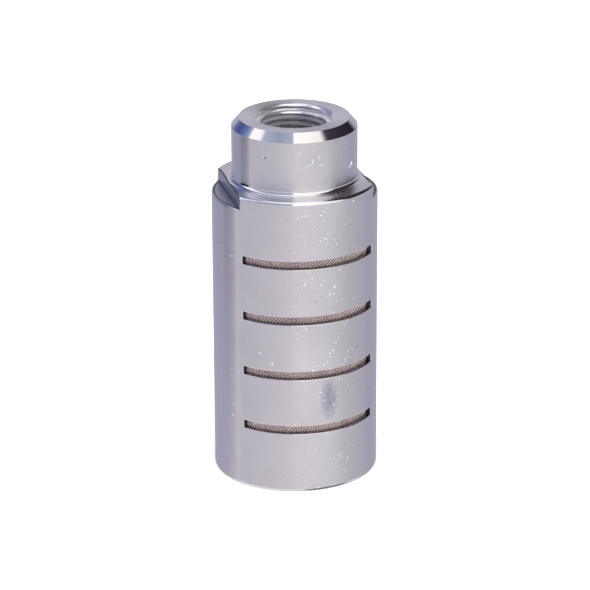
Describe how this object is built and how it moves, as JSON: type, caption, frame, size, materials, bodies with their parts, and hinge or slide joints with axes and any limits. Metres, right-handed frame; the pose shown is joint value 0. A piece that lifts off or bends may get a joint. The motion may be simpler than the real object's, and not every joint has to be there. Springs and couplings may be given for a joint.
{
  "type": "pneumatic exhaust muffler",
  "caption": "Cylindrical slotted aluminium exhaust muffler with a female tapered pipe port, wrench flats and an internal wire-mesh silencing stack.",
  "frame": {"origin": "centre of the base, on the face that the muffler stands on", "axes": "+Z along the muffler's axis towards the threaded port; -Y and +Y towards the middles of the two sets of exhaust slots; -X and +X towards the wrench flats"},
  "size_m": [0.0382, 0.0382, 0.085],
  "materials": {
    "housing_aluminium": "fine turned satin with polished chamfers",
    "plug_aluminium": "face turned, fine concentric marks",
    "spring_steel": "rolled spring strip",
    "sheet_steel": "rolled stainless sheet",
    "gasket_fibre": "compressed fibre sheet",
    "screen_wire": "fine woven stainless wire cloth",
    "knitted_wire": "knitted and pressed stainless wire"
  },
  "bodies": {
    "root": {"housing": "housing_aluminium", "end_plug": "plug_aluminium", "wave_spring": "spring_steel", "pressure_plate": "sheet_steel", "diffuser_end_cap": "sheet_steel", "diffuser_tube": "sheet_steel", "flange_gasket": "gasket_fibre", "core_screen": "screen_wire", "outer_screen": "screen_wire", "packing_ring_1": "knitted_wire", "packing_ring_2": "knitted_wire", "packing_ring_3": "knitted_wire", "packing_ring_4": "knitted_wire", "packing_ring_5": "knitted_wire", "packing_ring_6": "knitted_wire", "packing_ring_7": "knitted_wire", "packing_ring_8": "knitted_wire", "baffle_washer_1": "sheet_steel", "baffle_washer_2": "sheet_steel", "baffle_washer_3": "sheet_steel"}
  },
  "joints": []
}
